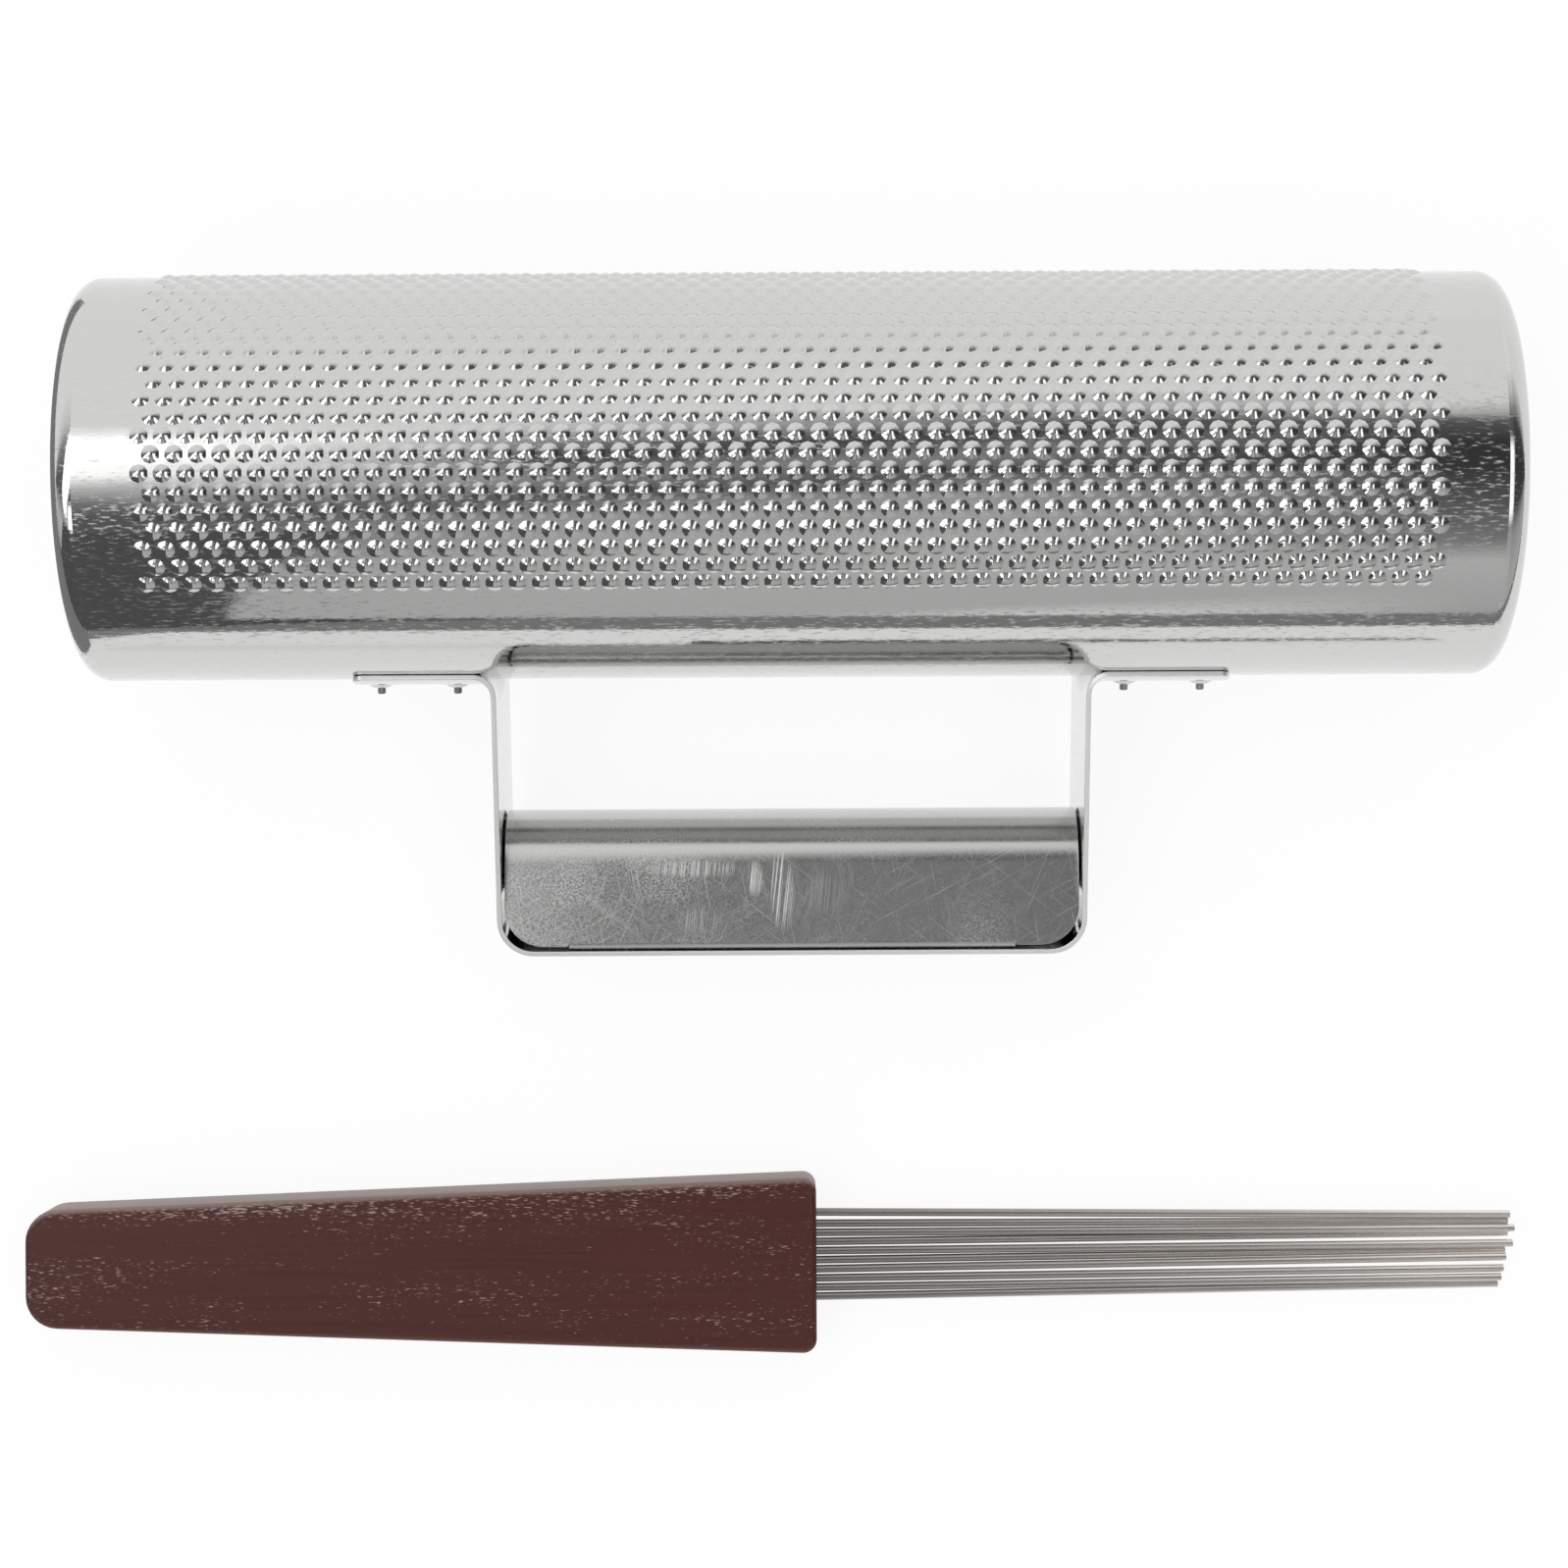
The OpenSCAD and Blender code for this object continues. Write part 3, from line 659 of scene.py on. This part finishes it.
bm = bmesh.new()
plan = [(butt_x, -butt_y), (wire_x, -wire_y), (wire_x, wire_y), (butt_x, butt_y)]
bm.faces.new([bm.verts.new((x, y, 0)) for x, y in plan])
for end_x, r in ((butt_x, BUTT_CORNER_R), (wire_x, WIRE_CORNER_R)):
    round_corners(bm, [v for v in bm.verts if abs(v.co.x - end_x) < NEAR], r, BLOCK_CORNER_STEPS)
top = bmesh.ops.extrude_face_region(bm, geom=bm.faces[:])["geom"]
bmesh.ops.translate(bm, vec=(0, 0, BLOCK_T), verts=[v for v in top if isinstance(v, bmesh.types.BMVert)])
rim = [edge for edge in bm.edges if abs(edge.verts[0].co.z - edge.verts[1].co.z) < NEAR]
bmesh.ops.bevel(bm, geom=rim, affect="EDGES", offset=BLOCK_EDGE_R, offset_type="OFFSET",
                segments=BLOCK_EDGE_STEPS, profile=0.5, material=-1)
bmesh.ops.recalc_face_normals(bm, faces=bm.faces)
bm.normal_update()
# Painted sheen, set by how far each vertex's normal turns to the back or the front of the block.
sheen_layer = bm.verts.layers.float.new("painted_sheen")
for v in bm.verts:
    back = v.normal.y
    v[sheen_layer] = min(1, max(0, BACK_SHEEN * (back - BACK_SHEEN_START), -FRONT_SHEEN * back))
block = finish_piece(bm, "painted_block", painted_wood, scraper_place, sharp_angle=60)
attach(block, "scraper")
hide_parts("scraper_handle")
# In the photograph the steel doesn't mirror the block.
block.visible_glossy = False

# Scraper wires. Ten straight pieces of hard-drawn steel wire, cut by hand and glued in the block.
# They are plain round rods, so the CAD's own meshes are shown, and only get their material here.
WIRE_COUNT = 10
WIRES = [f"wire_{i:02d}" for i in range(1, WIRE_COUNT + 1)]

# Hard-drawn steel wire: drawing marks along it, with the wire darker near the block and lighter towards the
# tips.
# The marks are drawn coarser than they are, so that they show.
DRAW_LENGTH = 25
DRAW_WIDTH = 0.25
drawn_steel, tree = new_material("hard-drawn steel wire")
coords = add(tree, "ShaderNodeTexCoord").outputs["Object"]
draw = streaks(tree, coords, DRAW_LENGTH, DRAW_WIDTH, DRAW_WIDTH, detail=3)
near_block_tone = add(tree, "ShaderNodeMix", {
    "Factor": draw, "A": linear("#757270"), "B": linear("#a5a19e")}, data_type="RGBA")
rub_patches_and_tip_tone = add(tree, "ShaderNodeMix", {
    "Factor": draw, "A": linear("#d4cfca"), "B": linear("#f6f1ec")}, data_type="RGBA")
tip_x = max(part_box(name)[1].x for name in WIRES)
spot = add(tree, "ShaderNodeSeparateXYZ", {0: coords})
# The tone goes from darker near the block to lighter at the tips.
towards_tips = add(tree, "ShaderNodeMapRange", {
    "Value": spot.outputs["X"], "From Min": block_high.x, "From Max": tip_x, "To Min": 0.05, "To Max": 1.1})
tone = add(tree, "ShaderNodeMix", {
    "Factor": towards_tips.outputs[0], "A": near_block_tone.outputs[2], "B": rub_patches_and_tip_tone.outputs[2]}, data_type="RGBA")
gloss = add(tree, "ShaderNodeMapRange", {"Value": draw, "To Min": 0.14, "To Max": 0.3})
metal = add(tree, "ShaderNodeBsdfPrincipled", {
    "Base Color": tone.outputs[2], "Metallic": 1, "Roughness": gloss.outputs[0]})
add(tree, "ShaderNodeOutputMaterial", {"Surface": metal.outputs[0]})
for name in WIRES:
    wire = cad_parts[name]
    wire.data.materials.clear()
    wire.data.materials.append(drawn_steel)

# Studio. A white table, and round it a white room with dark things over the table, where the camera stands.
# One broad lamp overhead lights the table and the paint; it is kept out of the metal's reflections.
# Dark cards lie and stand on the table outside the picture, to draw the edges of the polished steel.
FLOOR_SIZE = 8
FLOOR_GAP = 0.2
FLOOR_GLOW = 0.9

# White paper, seen a little over-exposed, so that the shadows on it are faint.
floor_paper, tree = new_material("white paper")
paper = add(tree, "ShaderNodeBsdfDiffuse", {"Color": linear("#fcfcfc")})
glow = add(tree, "ShaderNodeEmission", {"Color": linear("#ffffff"), "Strength": 1})
path = add(tree, "ShaderNodeLightPath")
mirrored = add(tree, "ShaderNodeMath", {
    0: path.outputs["Is Glossy Ray"], 1: path.outputs["Is Transmission Ray"]}, operation="MAXIMUM")
seen = add(tree, "ShaderNodeMath", {
    0: path.outputs["Is Camera Ray"], 1: mirrored.outputs[0]}, operation="MAXIMUM")
share = add(tree, "ShaderNodeMath", {0: seen.outputs[0], 1: FLOOR_GLOW}, operation="MULTIPLY")
surface = add(tree, "ShaderNodeMixShader", {0: share.outputs[0], 1: paper.outputs[0], 2: glow.outputs[0]})
add(tree, "ShaderNodeOutputMaterial", {"Surface": surface.outputs[0]})
bm = bmesh.new()
bmesh.ops.create_grid(bm, x_segments=1, y_segments=1, size=FLOOR_SIZE / 2)
floor = finish_piece(bm, "floor", floor_paper, Matrix.Translation((0, 0, -FLOOR_GAP * MM)))

# Black card: lifted a little by stray light, and seen in reflections alone.
CARD_LIFT = 0.3
# Two opposite corners of each card in mm, and the stray light on it; the last card stands on the table
CARDS = {
    "front_card": ((-230, -4000, CARD_LIFT), (4000, -314, CARD_LIFT), 0.25),
    "corner_card": ((-4000, -4000, CARD_LIFT), (-230, -314, CARD_LIFT), 0.09),
    "left_card": ((-1200, -310, CARD_LIFT), (-188, 250, CARD_LIFT), 0.25),
    "standing_card": ((-1500, -500, CARD_LIFT), (-200, -500, 900), 0.1),
}
for name, ((left, front, low), (right, back, high), card_light) in CARDS.items():
    black_card, tree = new_material("black card")
    stray_light = add(tree, "ShaderNodeEmission", {"Color": linear("#ffffff"), "Strength": card_light})
    add(tree, "ShaderNodeOutputMaterial", {"Surface": stray_light.outputs[0]})
    bm = bmesh.new()
    corners = [(left, front, low), (right, front, low), (right, back, high), (left, back, high)]
    bm.faces.new([bm.verts.new(corner) for corner in corners])
    card = finish_piece(bm, name, black_card, Matrix.Scale(MM, 4))
    card.visible_camera = False
    card.visible_diffuse = False
    card.visible_shadow = False

# The room is drawn by direction: by the swing, which is the angle from straight up towards the handle,
# and by the share along X. Each wall is a list of swings in degrees with the light that comes from there.
LEFT_SIDE = (
    (-180, 1.0), (-48, 1.0), (-30, 0.8), (-18, 0.3), (0, 0.15), (15, 0.15), (28, 0.4), (45, 0.65), (70, 0.6),
    (100, 0.6),
)
LEFT_WALL = (
    (-180, 1.0), (-25, 1.0), (-17, 1.6), (2, 1.6), (9, 0.73), (18, 0.25), (26, 0.13), (38, 0.13), (52, 0.45),
    (70, 0.55), (92, 0.55), (100, 1.0),
)
MIDDLE_WALL = (
    (-180, 1.0), (-34, 0.95), (-24, 0.45), (-15, 0.1), (-11, 0.1), (-2, 0.33), (9, 0.12), (20, 0.46),
    (45, 0.6), (90, 0.57), (100, 1.0),
)
RIGHT_WALL = (
    (-180, 1.0), (-36, 0.95), (-29, 0.6), (-24, 0.13), (-13, 0.05), (0, 0.05), (20, 0.12), (43, 0.26),
    (55, 0.62), (75, 0.55), (90, 0.5), (100, 1.0),
)
RIGHT_SIDE = (
    (-180, 1.0), (-58, 1.0), (-42, 0.7), (-28, 0.15), (-18, 0.1), (-8, 1.9), (26, 1.9), (36, 0.4), (50, 0.5),
    (60, 0.6), (80, 0.55), (100, 0.6),
)
RIGHT_END = (
    (-180, 1.0), (-62, 0.95), (-42, 0.5), (-28, 0.08), (0, 0.05), (25, 0.08), (45, 0.4), (70, 0.5),
    (100, 0.55),
)
# The middle wall leans: its swings shift by this many degrees over a whole share along X
WALL_SHIFT = 95
# Shares along X between which one wall goes over into the next, from the middle outwards
TURNS = (
    ((-0.07, -0.2), LEFT_WALL), ((-0.24, -0.32), LEFT_SIDE),
    ((0.06, 0.2), RIGHT_WALL), ((0.25, 0.32), RIGHT_SIDE), ((0.45, 0.55), RIGHT_END),
)
# Two bright bars on the left, one slanting from the back to the front and one in front of it:
# each has a few axes, and its limits on them.
BAR_LIGHT = 2.4
BAR_SOFT = 0.05
BARS = (
    (((0.74, -0.675, 0), (-0.48, -0.22)), ((-0.675, -0.74, 0), (-0.05, 0.68)), ((1, 0, 0), (-0.75, -0.2))),
    (((1, 0, 0), (-0.46, -0.27)), ((0, -1, 0), (0.34, 0.76))),
)

world = bpy.data.worlds.new("studio")
scene.world = world
world.use_nodes = True
tree = world.node_tree
tree.nodes.clear()
direction = add(tree, "ShaderNodeTexCoord").outputs["Generated"]
parts = add(tree, "ShaderNodeSeparateXYZ", {0: direction})
forward = add(tree, "ShaderNodeMath", {0: parts.outputs["Y"], 1: -1}, operation="MULTIPLY")
swing = add(tree, "ShaderNodeMath", {0: forward.outputs[0], 1: parts.outputs["Z"]}, operation="ARCTAN2")
shifted = add(tree, "ShaderNodeMath", {
    0: parts.outputs["X"], 1: radians(WALL_SHIFT), 2: swing.outputs[0]}, operation="MULTIPLY_ADD")


def wall(lights, swing_at):
    """The light of one wall at a swing."""
    turn_share = add(tree, "ShaderNodeMapRange", {"Value": swing_at, "From Min": -pi, "From Max": pi})
    ramp = add(tree, "ShaderNodeValToRGB", {"Fac": turn_share.outputs[0]})
    stops = ramp.color_ramp.elements
    stops.remove(stops[1])
    stops[0].color = [lights[0][1]] * 3 + [1]
    for angle, light in lights[1:]:
        stops.new((angle + 180) / 360).color = [light] * 3 + [1]
    return ramp.outputs["Color"]


def blend(limits, first, second):
    """Goes from one light to another between two shares along X."""
    factor = add(tree, "ShaderNodeMapRange", {
        "Value": parts.outputs["X"], "From Min": limits[0], "From Max": limits[1]})
    mixed = add(tree, "ShaderNodeMix", {
        "Factor": factor.outputs[0], "A": first, "B": second}, data_type="RGBA")
    return mixed.outputs[2]


light = wall(MIDDLE_WALL, shifted.outputs[0])
for limits, lights in TURNS:
    light = blend(limits, light, wall(lights, swing.outputs[0]))
bars = 0
for bar_limits in BARS:
    bar = 1
    for axis, (low, high) in bar_limits:
        reach = add(tree, "ShaderNodeVectorMath", {0: direction, 1: axis}, operation="DOT_PRODUCT")
        rise = add(tree, "ShaderNodeMapRange", {
            "Value": reach.outputs["Value"], "From Min": low - BAR_SOFT, "From Max": low})
        fall = add(tree, "ShaderNodeMapRange", {
            "Value": reach.outputs["Value"], "From Min": high + BAR_SOFT, "From Max": high})
        inside = add(tree, "ShaderNodeMath", {0: rise.outputs[0], 1: fall.outputs[0]}, operation="MULTIPLY")
        bar = add(tree, "ShaderNodeMath", {0: inside.outputs[0], 1: bar}, operation="MULTIPLY").outputs[0]
    bars = add(tree, "ShaderNodeMath", {0: bar, 1: bars}, operation="MAXIMUM").outputs[0]
with_bars = add(tree, "ShaderNodeMix", {
    "Factor": bars, "A": light, "B": [BAR_LIGHT] * 3 + [1]}, data_type="RGBA")
path = add(tree, "ShaderNodeLightPath")
backdrop = add(tree, "ShaderNodeMix", {
    "Factor": path.outputs["Is Camera Ray"], "A": with_bars.outputs[2], "B": linear("#ffffff")},
    data_type="RGBA")
background = add(tree, "ShaderNodeBackground", {"Color": backdrop.outputs[2], "Strength": 1})
add(tree, "ShaderNodeOutputWorld", {"Surface": background.outputs[0]})

LAMP_SIZE = 2.4
LAMP_HEIGHT = 2
LAMP_POWER = 16
lamp = bpy.data.objects.new("overhead_lamp", bpy.data.lights.new("overhead_lamp", "AREA"))
lamp.data.size = LAMP_SIZE
lamp.data.energy = LAMP_POWER
lamp.location = (0, 0, LAMP_HEIGHT)
lamp.visible_glossy = False
scene.collection.objects.link(lamp)
